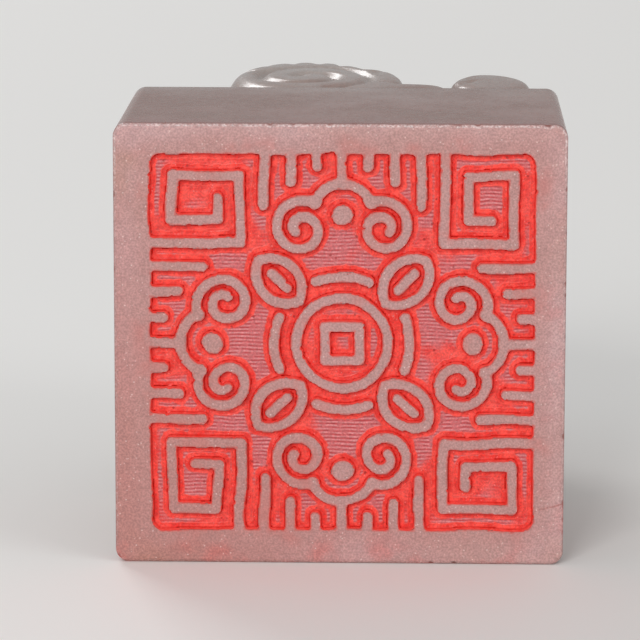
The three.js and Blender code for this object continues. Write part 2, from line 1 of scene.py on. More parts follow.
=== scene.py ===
import bpy
import numpy as np
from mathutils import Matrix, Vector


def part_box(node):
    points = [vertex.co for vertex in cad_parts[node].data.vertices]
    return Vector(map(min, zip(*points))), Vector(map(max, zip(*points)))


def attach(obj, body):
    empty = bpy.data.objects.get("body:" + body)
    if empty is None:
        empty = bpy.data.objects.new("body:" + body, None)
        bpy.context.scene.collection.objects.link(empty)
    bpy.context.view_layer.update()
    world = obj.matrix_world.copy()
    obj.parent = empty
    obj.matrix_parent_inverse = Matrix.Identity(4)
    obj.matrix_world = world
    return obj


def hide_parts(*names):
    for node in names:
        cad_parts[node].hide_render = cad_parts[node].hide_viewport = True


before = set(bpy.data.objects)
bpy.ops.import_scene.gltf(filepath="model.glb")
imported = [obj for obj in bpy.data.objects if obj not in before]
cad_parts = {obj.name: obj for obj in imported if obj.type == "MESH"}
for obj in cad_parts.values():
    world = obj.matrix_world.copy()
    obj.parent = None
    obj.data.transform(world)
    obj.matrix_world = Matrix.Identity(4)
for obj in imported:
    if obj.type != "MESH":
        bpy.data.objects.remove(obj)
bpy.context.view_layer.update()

# The camera stands 26 cm from the printing face and a little above its middle, with a long lens. Its
# place and tilt are fitted to the edges of the face.
face_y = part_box("seal_stone")[0][1]
camera = bpy.data.objects.new("camera", bpy.data.cameras.new("camera"))
camera.data.sensor_width = 36
camera.data.lens = 219.56
camera.data.clip_start = 0.01
camera.location = (0.00521, face_y - 0.25453, 0.06366)
camera.rotation_euler = np.radians((79.532, -0.094, 1.482))
bpy.context.collection.objects.link(camera)
bpy.context.scene.camera = camera

# The printing face: a sunken field inside a raised band, cut with a fine engraving cutter. The raised
# lines draw a coin, clouds, leaves and corner frets, and their tops are level with the band.
# Millimetres, with y counted from the plane of the face.
WIDTH, HEIGHT, LENGTH = 30.0, 29.7, 20.3
FIELD_LEFT, FIELD_RIGHT, FIELD_BOTTOM, FIELD_TOP = -12.6, 12.95, 2.3, 27.75
FIELD_CORNER, FIELD_DEPTH, WALL_SLOPE = 0.8, 0.7, 0.13
LINE_WIDTH, PEARL_RADIUS, ORNAMENT_HALF = 0.64, 0.68, 12.75
COIN_RADIUS, COIN_SQUARE_HALF, HALO_RADIUS = 3.05, 1.15, 4.5
SCROLL_SWEEP, RAY_SPACING, PEARL_DISTANCE = 504, 1.72, 8.65
LEAF_DISTANCE, LEAF_HALF_LENGTH, LEAF_HALF_WIDTH = 5.95, 1.95, 1.3
LEAF_ARC_RADIUS = (LEAF_HALF_LENGTH**2 + LEAF_HALF_WIDTH**2) / (2 * LEAF_HALF_WIDTH)
FIELD_CENTRE = np.array((FIELD_LEFT + FIELD_RIGHT, FIELD_BOTTOM + FIELD_TOP)) / 2
FIELD_SPAN = np.array((FIELD_RIGHT - FIELD_LEFT, FIELD_TOP - FIELD_BOTTOM))
FIELD_STRETCH = FIELD_SPAN / (2 * ORNAMENT_HALF)


def arc(centre, radii, angles, steps):
    """Points on an arc, or on a spiral where the two radii differ: the radius and the angle both run
    evenly from their first value to their second, in degrees."""
    share = np.linspace(0, 1, steps + 1)
    radius = radii[0] + (radii[1] - radii[0]) * share
    angle = np.radians(angles[0] + (angles[1] - angles[0]) * share)
    return np.stack((centre[0] + radius * np.cos(angle), centre[1] + radius * np.sin(angle)), 1)


def turned(points, degrees):
    """Points of a plane turned about its middle."""
    c, s = np.cos(np.radians(degrees)), np.sin(np.radians(degrees))
    return np.asarray(points, float) @ np.array(((c, s), (-s, c)))


def quarter_lines():
    """The centrelines of one quarter, whose second axis runs from the middle of the field to the band:
    a cloud of two spirals and a crown, its stem, short rays, a square spiral, a leaf with its rib and
    an arc of the halo round the coin."""
    scroll = arc((2.7, 7.75), (0.45, 1.95), (118 - SCROLL_SWEEP, 118), 44)
    rays = []
    for number, length in enumerate((0.9, 1.9, 3.5), 1):
        for side in (-RAY_SPACING, RAY_SPACING):
            x = side * number
            rays.append(((x, ORNAMENT_HALF + LINE_WIDTH), (x, ORNAMENT_HALF - length)))
    fret = np.array(
        ((6, -LINE_WIDTH), (6, 6), (1.45, 6), (1.45, 1.45), (4.48, 1.45), (4.48, 4.48), (2.97, 4.48))
    )
    half_angle = np.degrees(np.arcsin(LEAF_HALF_LENGTH / LEAF_ARC_RADIUS))
    leaf_arcs = []
    over, under = (90 + half_angle, 90 - half_angle), (half_angle - 90, -90 - half_angle)
    for side, angles in ((1, over), (-1, under)):
        middle = (LEAF_DISTANCE, side * (LEAF_HALF_WIDTH - LEAF_ARC_RADIUS))
        leaf_arcs.append(arc(middle, (LEAF_ARC_RADIUS, LEAF_ARC_RADIUS), angles, 20))
    return [
        scroll,
        scroll * (-1, 1),
        arc((0, 8.7), (2.05, 2.05), (20, 160), 20),
        ((0, 10.75), (0, ORNAMENT_HALF + LINE_WIDTH)),
        *rays,
        ORNAMENT_HALF - fret,
        turned(np.concatenate(leaf_arcs), 45),
        turned(((5.2, 0), (6.7, 0)), 45),
        arc((0, 0), (HALO_RADIUS, HALO_RADIUS), (67, 113), 14),
    ]


lines = [turned(line, 90 * turn) for turn in range(4) for line in quarter_lines()]
lines.append(arc((0, 0), (COIN_RADIUS, COIN_RADIUS), (0, 360), 60))
lines.append(np.array(((1, 1), (-1, 1), (-1, -1), (1, -1), (1, 1))) * COIN_SQUARE_HALF)
lines = [line * FIELD_STRETCH + FIELD_CENTRE for line in lines]
pearls = [turned(((0, PEARL_DISTANCE),), 90 * turn) for turn in range(4)]
pearls = [pearl * FIELD_STRETCH + FIELD_CENTRE for pearl in pearls]


def ripple(points, length, seed):
    """An even, cloud-like waver with a spread of 1: the sum of plane sine waves of about that length,
    in seeded directions and phases."""
    waves = 28
    chance = np.random.default_rng(seed)
    directions = chance.normal(size=(waves, points.shape[-1]))
    directions /= np.linalg.norm(directions, axis=1, keepdims=True)
    pace = 2 * np.pi / (length * chance.uniform(0.7, 1.5, waves))
    phases = chance.uniform(0, 2 * np.pi, waves)
    total = np.zeros(points.shape[:-1])
    for direction, rate, phase in zip(directions, pace, phases):
        total += np.sin(points @ direction * rate + phase)
    return total * np.sqrt(2 / waves)


def distance_to_line(points, line):
    """The least distance from each point to a line of straight pieces: to the foot of the
    perpendicular on each piece, held between its ends."""
    start, along = line[:-1], np.diff(line, axis=0)
    offset = points[:, None] - start
    share = np.clip((offset * along).sum(2) / (along**2).sum(1), 0, 1)
    return np.linalg.norm(offset - share[..., None] * along, axis=2).min(1)


def larger(a, b, blend):
    """The larger of two levels, rounded off over a blend where they are close."""
    return np.maximum(a, b) + np.maximum(blend - np.abs(a - b), 0) ** 2 / (4 * blend)


def inside_lines(points):
    """How far each point lies inside the raised lines or the band, and below zero in the ground: half
    a line's width less the distance to its centreline, with a slight waver and some chips."""
    drift, fillet, margin = 0.04, 0.16, 1.6
    points = points + drift * np.stack((ripple(points, 5, 1), ripple(points, 5, 2)), 1)
    over = np.abs(points - FIELD_CENTRE) - FIELD_SPAN / 2 + FIELD_CORNER
    level = np.linalg.norm(np.maximum(over, 0), axis=1) + np.minimum(over.max(1), 0) - FIELD_CORNER
    for line in lines:
        near = ((points > line.min(0) - margin) & (points < line.max(0) + margin)).all(1)
        inside = LINE_WIDTH / 2 - distance_to_line(points[near], line)
        level[near] = larger(level[near], inside, fillet)
    for pearl in pearls:
        level = np.maximum(level, PEARL_RADIUS - np.linalg.norm(points - pearl, axis=1))
    level += 0.009 * ripple(points, 1.7, 3) + 0.008 * ripple(points, 0.5, 4)
    chips = 0.1 * np.maximum(ripple(points, 0.6, 5) - 1.75, 0)
    return level - chips


def square_parts(case):
    """The parts of a grid square whose corners are high where the case has a bit: the high polygons and
    the low ones. Corners are numbers 0 to 3, and 4 to 7 are the cuts on the sides after them."""
    high = [case >> corner & 1 for corner in range(4)]
    if case in (5, 10):
        peaks = [[k, 4 + k, 4 + (k + 3) % 4] for k in range(4) if high[k]]
        between = []
        for k in range(4):
            between += [4 + k] if high[k] else [k, 4 + k]
        return peaks, [between]
    parts = []
    for wanted in (1, 0):
        polygon = []
        for k in range(4):
            polygon += [k] if high[k] == wanted else []
            polygon += [4 + k] if high[k] != high[(k + 1) % 4] else []
        parts.append([polygon] if polygon else [])
    return parts


def stops(*pairs):
    """Evenly spaced values between stops, given as (value, number of steps from there)."""
    values = [value for value, _ in pairs]
    runs = [
        np.linspace(a, b, steps, endpoint=False)
        for a, b, (_, steps) in zip(values, values[1:], pairs)
    ]
    return np.concatenate([*runs, values[-1:]])


# The block behind the face: a square bar of soapstone, sawn and polished, with the long edges rounded,
# a fine bevel round the face and a soft edge round the top end. Face and block are one mesh.
LONG_EDGE, FACE_EDGE, TOP_EDGE, FINE_MARGIN, FINE_STEPS = 0.9, 0.25, 0.7, 0.25, 214
flat_corner = LONG_EDGE - FACE_EDGE
left, right = FACE_EDGE - WIDTH / 2, WIDTH / 2 - FACE_EDGE
bottom, top = FACE_EDGE, HEIGHT - FACE_EDGE
across = stops(
    (left, 6), (left + flat_corner, 6), (FIELD_LEFT - FINE_MARGIN, FINE_STEPS),
    (FIELD_RIGHT + FINE_MARGIN, 5), (right - flat_corner, 6), (right, 0),
)
upward = stops(
    (bottom, 6), (bottom + flat_corner, 6), (FIELD_BOTTOM - FINE_MARGIN, FINE_STEPS),
    (FIELD_TOP + FINE_MARGIN, 5), (top - flat_corner, 6), (top, 0),
)
core_low = np.array((left, bottom)) + flat_corner
core_high = np.array((right, top)) - flat_corner


def rounded_corners(points):
    """Presses the corner squares of the grid into quarter circles: (u, v) in a square goes to
    (u sqrt(1 - v2/2), v sqrt(1 - u2/2)), which keeps the inner two sides as they are."""
    reach = (points - np.clip(points, core_low, core_high)) / flat_corner
    shrunk = reach * np.sqrt(1 - reach[:, ::-1] ** 2 / 2)
    return np.clip(points, core_low, core_high) + shrunk * flat_corner


def strip(front, back):
    """Two triangles for each pair of neighbours of two closed rings of point numbers."""
    next_front, next_back = np.roll(front, -1), np.roll(back, -1)
    first, second = (front, back, next_back), (front, next_back, next_front)
    return np.concatenate((np.stack(first, 1), np.stack(second, 1)))


def fan(tip, ring):
    """A triangle from one point to each pair of neighbours of a closed ring of point numbers."""
    return np.stack((np.full(len(ring), tip), ring, np.roll(ring, -1)), 1)


def piece(name, points, triangles, material, slot, replaced, sharp_from=180, **attributes):
    """A mesh given in millimetres from the plane of the face, put in its place in metres. It stands
    for the replaced nodes of the model, and each attribute holds one number for every point."""
    mesh = bpy.data.meshes.new(name)
    placed = (np.asarray(points) * 0.001 + (0, face_y, 0)).astype(np.float32)
    mesh.vertices.add(len(placed))
    mesh.vertices.foreach_set("co", placed.ravel())
    mesh.loops.add(triangles.size)
    mesh.loops.foreach_set("vertex_index", triangles.ravel().astype(np.int32))
    mesh.polygons.add(len(triangles))
    mesh.polygons.foreach_set("loop_start", np.arange(0, triangles.size, 3, dtype=np.int32))
    mesh.update(calc_edges=True)
    mesh.shade_smooth()
    if sharp_from < 180:
        mesh.set_sharp_from_angle(angle=np.radians(sharp_from))
    for key, values in attributes.items():
        mesh.attributes.new(key, "FLOAT", "POINT").data.foreach_set("value", values.astype(np.float32))
    mesh.materials.append(material)
    made = bpy.data.objects.new(name, mesh)
    bpy.context.collection.objects.link(made)
    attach(made, "root")
    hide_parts(*replaced)


def node_maker(name):
    """A new material, and a function that adds a node to it. Its dictionary sets inputs, each to a
    value or to another node's output, its keywords set the node's options, and it returns the node's
    outputs."""
    material = bpy.data.materials.new(name)
    material.use_nodes = True
    material.node_tree.nodes.clear()

    def add(kind, inputs, **options):
        node = material.node_tree.nodes.new("ShaderNode" + kind)
        for option, value in options.items():
            setattr(node, option, value)
        for key, value in inputs.items():
            if isinstance(value, bpy.types.NodeSocket):
                material.node_tree.links.new(value, node.inputs[key])
            else:
                node.inputs[key].default_value = value
        return node.outputs

    return material, add


def colour(red, green, blue):
    """A colour as it is seen, from 0 to 255, as the shader's linear numbers."""
    seen = np.array((red, green, blue)) / 255
    return (*np.where(seen < 0.04045, seen / 12.92, ((seen + 0.055) / 1.055) ** 2.4), 1)


def noise(add, where, size_mm, detail):
    """A soft noise whose features measure that many millimetres."""
    return add("TexNoise", {"Vector": where, "Scale": 1000 / size_mm, "Detail": detail})[0]


def fade(add, value, low, high, to_low=0.0, to_high=1.0):
    """A value's smooth rise from one level to another."""
    return add(
        "MapRange",
        {0: value, 1: low, 2: high, 3: to_low, 4: to_high},
        interpolation_type="SMOOTHSTEP",
    )[0]


def times(add, a, b):
    """The product of two values."""
    return add("Math", {0: a, 1: b}, operation="MULTIPLY")[0]


def plus(add, a, b):
    """The sum of two values."""
    return add("Math", {0: a, 1: b}, operation="ADD")[0]


def times_plus(add, a, b, c):
    """The product of two values, with a third added to it."""
    return add("Math", {0: a, 1: b, 2: c}, operation="MULTIPLY_ADD")[0]


def mixed(add, share, a, b):
    """A colour that goes from one to another as the share goes from 0 to 1."""
    return add("Mix", {0: share, 6: a, 7: b}, data_type="RGBA")[2]


def stone_finish():
    """Pinkish grey soapstone: soft clouds of pink, grey and tan, a fine sparkling grain, a honed face
    and darker sides, partly from their polish and partly painted shade, a greyer knob, red stains near
    the face, a bevel worn pale with a painted highlight along its top edge, and paste on the lines'
    walls, painted paler than the pools to lift their shade."""
    material, add = node_maker("pink_soapstone")
    where = add("TexCoord", {})["Object"]
    x, y, z = add("SeparateXYZ", {0: where})
    face = fade(add, y, face_y + 0.00012, face_y + 0.0003, 1, 0)
    near_face = fade(add, y, face_y + 0.0005, face_y + 0.0035, 1, 0)

    # The stone itself: the face browner low on the left, the sides darker, partly from their polish and
    # partly painted shade, and the knob greyer.
    clouds = noise(add, where, 6.5, 3)
    stone = mixed(add, fade(add, clouds, 0.36, 0.64), colour(192, 150, 146), colour(200, 163, 162))
    low_left = plus(add, x, times(add, z, 0.7))
    stone = mixed(add, fade(add, low_left, -0.012, 0.012, 0.9, 0), stone, colour(184, 128, 121))
    tan_clouds = fade(add, noise(add, where, 8, 3), 0.46, 0.68)
    tan = times(add, tan_clouds, fade(add, x, -0.015, -0.006, 0.8, 0.15))
    stone = mixed(add, tan, stone, colour(176, 130, 112))
    # Painted shade: the sides' darker colour holds shade as well as the deeper tone of their polish.
    polished_shaded_sides = mixed(add, fade(add, clouds, 0.36, 0.64), colour(138, 98, 88), colour(151, 111, 103))
    polished_shaded_sides = mixed(add, near_face, polished_shaded_sides, colour(146, 100, 94))
    along = times_plus(add, clouds, 0.024, y)
    greyer = fade(add, along, face_y + 0.018, face_y + 0.046)
    knob_clouds = fade(add, noise(add, where, 9, 3), 0.36, 0.64)
    knob = mixed(add, knob_clouds, colour(158, 140, 132), colour(172, 161, 156))
    polished_shaded_sides = mixed(add, greyer, polished_shaded_sides, knob)
    stone = mixed(add, face, polished_shaded_sides, stone)

    # Old paste that has stained the lower and the right edge.
    low_edge = fade(add, z, 0.0, 0.0045, 1, 0.12)
    right_edge = times(add, fade(add, x, 0.0105, 0.0150, 0, 0.8), fade(add, z, 0.015, 0.023, 1, 0.15))
    edges = add("Math", {0: low_edge, 1: right_edge}, operation="MAXIMUM")[0]
    blots = times(add, fade(add, noise(add, where, 3.2, 5), 0.46, 0.68), edges)
    stains = times(add, times(add, blots, near_face), 0.5)
    stone = mixed(add, stains, stone, colour(205, 98, 90))

    # A thin dark vein across the band, low on the right.
    vein_line = plus(add, times(add, noise(add, where, 4, 3), 0.0022), z)
    vein_line = plus(add, vein_line, times(add, x, -0.13))
    vein_gap = add("Math", {0: vein_line, 1: 0.0030}, operation="SUBTRACT")[0]
    vein_gap = add("Math", {0: vein_gap}, operation="ABSOLUTE")[0]
    vein = times(add, fade(add, vein_gap, 0.0, 0.00012, 1, 0), fade(add, x, 0.0095, 0.0125, 0, 0.6))
    stone = mixed(add, times(add, vein, face), stone, colour(160, 84, 80))

    # Duller tops of the lines, and the bevel round the face worn pale, with a painted highlight.
    inside = add("Attribute", {}, attribute_name="inside")["Fac"]
    depth = add("Attribute", {}, attribute_name="depth")["Fac"]
    ragged = noise(add, where, 0.35, 3)
    on_line = fade(add, inside, 0.3, 1.6, 1, 0)
    stone = mixed(add, times(add, on_line, 0.6), stone, colour(186, 138, 133))
    wear_and_glint_noise = noise(add, where, 0.16, 3)
    behind_face = fade(add, y, face_y + 0.00001, face_y + 0.00006)
    before_side = fade(add, y, face_y + 0.00012, face_y + 0.00028, 1, 0)
    wear_and_glint_edge = times(add, fade(add, wear_and_glint_noise, 0.44, 0.6, 0.1, 0.7), times(add, behind_face, before_side))
    # Painted highlight: the pale bevel is strongest along the top edge, where the light glints.
    wear_and_glint_edge = times(add, wear_and_glint_edge, fade(add, z, 0.024, 0.029, 0.25, 1))
    stone = mixed(add, wear_and_glint_edge, stone, colour(240, 222, 220))

    # The grain, stronger on the honed face, and bright flecks of mica.
    grain = noise(add, where, 0.14, 2)
    coarse = fade(add, noise(add, where, 0.45, 3), 0.3, 0.7, 0.95, 1.05)
    darkest = times_plus(add, face, -0.11, 0.91)
    lightest = times_plus(add, face, 0.1, 1.07)
    light_grain = times(add, fade(add, grain, 0.25, 0.75, darkest, lightest), coarse)
    stone = add("VectorMath", {0: stone, "Scale": light_grain}, operation="SCALE")[0]
    flecks = add("TexVoronoi", {"Vector": where, "Scale": 1000 / 0.3})
    chosen = fade(add, noise(add, where, 0.4, 1), 0.48, 0.58, 0, fade(add, face, 0, 1, 0.4, 1))
    fleck = times(add, fade(add, flecks["Distance"], 0.0, 0.26, 1, 0), chosen)
    stone = mixed(add, times(add, fleck, 0.7), stone, colour(246, 226, 220))

    # Paste: a thin smear along the lines' edges, worn traces on their tops, and a film on their walls.
    smear = times(add, fade(add, inside, 0.0, 0.13, 1, 0), fade(add, ragged, 0.38, 0.6, 0.15, 0.7))
    stone = mixed(add, smear, stone, colour(208, 70, 60))
    worn = times(add, on_line, fade(add, noise(add, where, 2.6, 4), 0.52, 0.72, 0, 0.35))
    stone = mixed(add, worn, stone, colour(206, 110, 102))
    start = fade(add, ragged, 0.3, 0.7, 0.0, 0.08)
    film = add("Math", {0: depth, 1: start}, operation="GREATER_THAN")[0]
    # The film is painted paler than the paste in the pools: painted light that lifts the shade of the
    # steep walls.
    film_red_painted_lighter = mixed(add, fade(add, ragged, 0.35, 0.7), colour(244, 78, 68), colour(255, 104, 94))
    stone = mixed(add, film, stone, film_red_painted_lighter)

    # A honed face and smoother sides, with the grain as a slight tooth.
    rough = fade(add, noise(add, where, 0.5, 3), 0.3, 0.7, 0.2, 0.28)
    rough = plus(add, rough, times(add, face, 0.24))
    rough = plus(add, rough, times(add, fleck, -0.2))
    tooth = plus(add, times(add, face, 0.34), 0.06)
    relief = add("Bump", {"Strength": tooth, "Distance": 0.00004, "Height": grain})["Normal"]
    surface = add(
        "BsdfPrincipled",
        {
            "Base Color": stone,
            "Roughness": rough,
            "Normal": relief,
            "Specular IOR Level": 0.32,
            "Subsurface Weight": 0.12,
            "Subsurface Radius": (1.0, 0.55, 0.45),
            "Subsurface Scale": 0.0006,
        },
    )[0]
    add("OutputMaterial", {"Surface": surface})
    return material


stone_material = stone_finish()


def cut_numbers(crossed, first):
    """Point numbers for the grid's sides that a wall crosses, counted on from the first, and -1 for
    the other sides."""
    return np.where(crossed, first - 1 + np.cumsum(crossed).reshape(crossed.shape), -1)


# The face is a grid of squares. Where the level passes the middle of a wall, the sides of the squares
# are cut, a little off their corners, and each cut has two points: the wall's top and its foot.
LEAST_SHARE = 0.08
columns, rows = len(across), len(upward)
flat = np.stack(np.meshgrid(across, upward, indexing="ij"), 2)
level = inside_lines(flat.reshape(-1, 2)).reshape(columns, rows)
slope = np.stack(np.gradient(level, across, upward), 2)
slope /= np.maximum(np.linalg.norm(slope, axis=2, keepdims=True), 0.2)
high = level > -WALL_SLOPE / 2
number = np.arange(columns * rows).reshape(columns, rows)
crossed_level, crossed_upright = high[:-1] != high[1:], high[:, :-1] != high[:, 1:]
cut_start = np.concatenate((number[:-1][crossed_level], number[:, :-1][crossed_upright]))
cut_end = np.concatenate((number[1:][crossed_level], number[:, 1:][crossed_upright]))
cuts_made, grid_size = len(cut_start), columns * rows
level_cuts = cut_numbers(crossed_level, grid_size)
upright_cuts = cut_numbers(crossed_upright, grid_size + crossed_level.sum())
flat, slope = flat.reshape(-1, 2), slope.reshape(-1, 2)
level, high = level.ravel(), high.ravel()
share = (-WALL_SLOPE / 2 - level[cut_start]) / (level[cut_end] - level[cut_start])
share = np.clip(share, LEAST_SHARE, 1 - LEAST_SHARE)[:, None]
cut_spot = flat[cut_start] * (1 - share) + flat[cut_end] * share
cut_slope = slope[cut_start] * (1 - share) + slope[cut_end] * share
cut_slope /= np.linalg.norm(cut_slope, axis=1, keepdims=True)
corners_and_cuts = (
    number[:-1, :-1], number[1:, :-1], number[1:, 1:], number[:-1, 1:],
    level_cuts[:, :-1], upright_cuts[1:], level_cuts[:, 1:], upright_cuts[:-1],
)
squares = np.stack([part.ravel() for part in corners_and_cuts], 1)

# Each square's polygons are split into triangles from their first corner. A side between two cuts is
# where a wall starts.
case_of = (high[squares[:, :4]] * (1, 2, 4, 8)).sum(1)
high_triangles, low_triangles, low_square, rims, rim_square = [], [], [], [], []
for case in range(16):
    these = np.flatnonzero(case_of == case)
    high_parts, low_parts = square_parts(case)
    for polygon in high_parts:
        for second, third in zip(polygon[1:], polygon[2:]):
            high_triangles.append(squares[these][:, (polygon[0], second, third)])
        for first, second in zip(polygon, polygon[1:] + polygon[:1]):
            if first > 3 and second > 3:
                rims.append(squares[these][:, (first, second)])
                rim_square.append(these)
    for polygon in low_parts:
        for second, third in zip(polygon[1:], polygon[2:]):
            low_triangles.append(squares[these][:, (polygon[0], second, third)])
            low_square.append(these)
high_triangles, low_triangles, low_square, rims, rim_square = (
    np.concatenate(rows_of) for rows_of in (high_triangles, low_triangles, low_square, rims, rim_square)
)

flat = rounded_corners(flat)
ground_depth = np.maximum(FIELD_DEPTH + 0.012 * ripple(flat, 1.1, 8), 0.6)
depth = np.where(high, 0, ground_depth)
wall_top = cut_spot + cut_slope * WALL_SLOPE / 2
wall_foot = cut_spot - cut_slope * WALL_SLOPE / 2
points = [
    np.stack((flat[:, 0], depth, flat[:, 1]), 1),
    np.stack((wall_top[:, 0], np.zeros(cuts_made), wall_top[:, 1]), 1),
    np.stack((wall_foot[:, 0], np.full(cuts_made, FIELD_DEPTH), wall_foot[:, 1]), 1),
]
p, q = rims.T
triangles = [
    high_triangles,
    np.where(low_triangles >= grid_size, low_triangles + cuts_made, low_triangles),
    np.stack((q, p, p + cuts_made), 1),
    np.stack((q, p + cuts_made, q + cuts_made), 1),
]

# From the rim of the face, closed rings of points go over the bevel, along the sides and round the top
# edge to the middle of the top end. Small chips push the bevel in. The sides and the knob count as far
# inside the lines, which keeps paste off them.
BEVEL_END, FAR_INSIDE = 0.26, 5.0
ring = np.concatenate((number[:, 0], number[-1, 1:], number[-2::-1, -1], number[0, -2:0:-1]))
rim = flat[ring]
outward = (rim - np.clip(rim, core_low, core_high)) / flat_corner
chips = 0.05 * np.maximum(ripple(rim, 0.9, 11) - 1.3, 0)
bevel = [(0.05, 0.02), (0.12, 0.085), (0.19, 0.165), (0.232, 0.215), (FACE_EDGE, 0.29)]
side = [(FACE_EDGE, share * (LENGTH - TOP_EDGE)) for share in (0.05, 0.12, 0.3, 0.5, 0.7, 0.9, 1)]
turn = np.linspace(0, np.pi / 2, 7)[1:]
end = np.stack((FACE_EDGE - TOP_EDGE * (1 - np.cos(turn)), LENGTH - TOP_EDGE * (1 - np.sin(turn))), 1)
first_free = grid_size + 2 * cuts_made
for out, along in (*bevel, *side, *end):
    worn = chips * (along < BEVEL_END)
    spot = rim + outward * (out - worn)[:, None]
    points.append(np.stack((spot[:, 0], along + worn, spot[:, 1]), 1))
    new_ring = np.arange(first_free, first_free + len(ring))
    triangles.append(strip(ring, new_ring))
    ring, first_free = new_ring, first_free + len(ring)
points.append(np.array(((0, LENGTH, HEIGHT / 2),)))
triangles.append(fan(first_free, ring)[:, (1, 0, 2)])
points = np.concatenate(points)
rest = len(points) - grid_size - 2 * cuts_made
piece(
    "carved_block",
    points,
    np.concatenate(triangles),
    stone_material,
    "stone",
    ["seal_stone"],
    sharp_from=32,
    depth=np.concatenate((~high, np.zeros(cuts_made), np.ones(cuts_made), np.zeros(rest))),
    inside=np.concatenate((np.maximum(level, 0), np.zeros(2 * cuts_made), np.full(rest, FAR_INSIDE))),
)

# The knob: a crouching guardian beast, carved from the same bar and polished. It turns its head to one
# side. It can be no wider than the bar, so its flanks flatten where they reach the bar's sides.
# x runs from tail to head, y up from the block's top end, and z out to the flanks.
BEAST_UP, BEAST_MIDDLE, BEAST_REACH, FLANK, ROOT = LENGTH, HEIGHT / 2, 14.8, 14.88, 0.6
HEAD_TURN, HEAD_SCALE, HEAD_PLACE = 38.0, 1.2, np.array((5.9, 16.3, 1.0))


def held(value, limit):
    """A value kept between plus and minus a limit, with a rounded turn into it: the smaller of the two
    sizes, less the square of what their gap leaves of the blend, over four blends."""
    size, blend = np.abs(value), 1.2
    rounding = np.maximum(blend - np.abs(size - limit), 0) ** 2 / (4 * blend)
    return np.sign(value) * (np.minimum(size, limit) - rounding)


def boulder(at, radii, lean, around):
    """A rounded form: a sphere's grid of angles, (cos u sin v, -cos v, sin u sin v), stretched by three
    radii, leaned about z and moved to its place."""
    down = around // 2
    u = np.linspace(0, 2 * np.pi, around, endpoint=False)
    v = np.linspace(0, np.pi, down + 1)[1:-1]
    v, u = np.meshgrid(v, u, indexing="ij")
    skin = np.stack((np.cos(u) * np.sin(v), -np.cos(v), np.sin(u) * np.sin(v)), 2).reshape(-1, 3)
    skin = np.concatenate((skin, ((0, -1, 0), (0, 1, 0)))) * radii
    faces = []
    for band in range(down - 2):
        low = np.arange(around) + band * around
        faces.append(strip(low, low + around))
    ring = np.arange(around)
    faces.append(fan(len(skin) - 2, ring))
    faces.append(fan(len(skin) - 1, ring + (down - 2) * around)[:, (0, 2, 1)])
    c, s = np.cos(np.radians(lean)), np.sin(np.radians(lean))
    return skin @ np.array(((c, s, 0), (-s, c, 0), (0, 0, 1))) + at, np.concatenate(faces)


def smooth_path(stations, steps):
    """A Catmull-Rom curve through the rows of a table, with that many steps between two rows."""
    table = np.asarray(stations, float)
    table = np.concatenate((2 * table[:1] - table[1:2], table, 2 * table[-1:] - table[-2:-1]))
    share = np.linspace(0, 1, steps, endpoint=False)[:, None]
    runs = []
    for p0, p1, p2, p3 in zip(table, table[1:], table[2:], table[3:]):
        bend = (2 * p0 - 5 * p1 + 4 * p2 - p3) * share**2 + (3 * p1 - p0 - 3 * p2 + p3) * share**3
        runs.append(0.5 * (2 * p1 + (p2 - p0) * share + bend))
    return np.concatenate((*runs, table[-2:-1]))


def limb_frames(stations, steps):
    """The curve through a limb's stations (x, y, z, radius, width share), and at each of its points the
    direction and the two axes of the section, carried along without twist."""
    table = smooth_path([(*s, 1.0) if len(s) == 4 else s for s in stations], steps)
    centre, radius, share = table[:, :3], table[:, 3], table[:, 4]
    along = np.gradient(centre, axis=0)
    along /= np.linalg.norm(along, axis=1, keepdims=True)
    side = np.cross(along[0], (0, 1, 0))
    side = side if side @ side > 0.01 else np.array((0.0, 0, 1))
    sides = []
    for direction in along:
        side = side - direction * (side @ direction)
        side /= np.linalg.norm(side)
        sides.append(side)
    sides = np.array(sides)
    return centre, along, sides, np.cross(sides, along), radius, share


def limb(stations, around, steps=8):
    """A tapering form along a smooth curve: an oval section, radius times (share cos a, sin a), at each
    point of the curve, closed by a half round at both ends."""
    centre, along, side, lift, radius, share = limb_frames(stations, steps)
    dome = np.sin(np.linspace(0, np.pi / 2, 7)[1:-1])
    start, end = np.zeros(len(dome), int), np.full(len(dome), len(centre) - 1)
    order = np.concatenate((start, np.arange(len(centre)), end))
    push = np.concatenate((-dome[::-1], np.zeros(len(centre)), dome))
    angle = np.linspace(0, 2 * np.pi, around, endpoint=False)[None, :, None]
    r = (radius[order] * np.sqrt(1 - push**2))[:, None, None]
    middle = (centre[order] + along[order] * (push * radius[order])[:, None])[:, None]
    wide = side[order][:, None] * share[order][:, None, None]
    skin = (middle + r * (wide * np.cos(angle) + lift[order][:, None] * np.sin(angle))).reshape(-1, 3)
    ends = np.stack((centre[0] - along[0] * radius[0], centre[-1] + along[-1] * radius[-1]))
    faces = []
    for band in range(len(order) - 1):
        low = np.arange(around) + band * around
        faces.append(strip(low, low + around)[:, ::-1])
    ring = np.arange(around)
    faces.append(fan(len(skin), ring))
    faces.append(fan(len(skin) + 1, ring + (len(order) - 1) * around)[:, (0, 2, 1)])
    return np.concatenate((skin, ends)), np.concatenate(faces)


def along_limb(into, stations, angles, depth=0.4, width=0.3, trim=0.1):
    """Grooves that run along a limb on its skin, one at each angle of its section."""
    centre, _, side, lift, radius, share = limb_frames(stations, 10)
    keep = slice(int(len(centre) * trim), int(len(centre) * (1 - trim)) + 1)
    for angle in np.radians(angles):
        oval = side * (share * np.cos(angle))[:, None] + lift * np.sin(angle)
        into.append(((centre + oval * radius[:, None])[keep], depth, width))


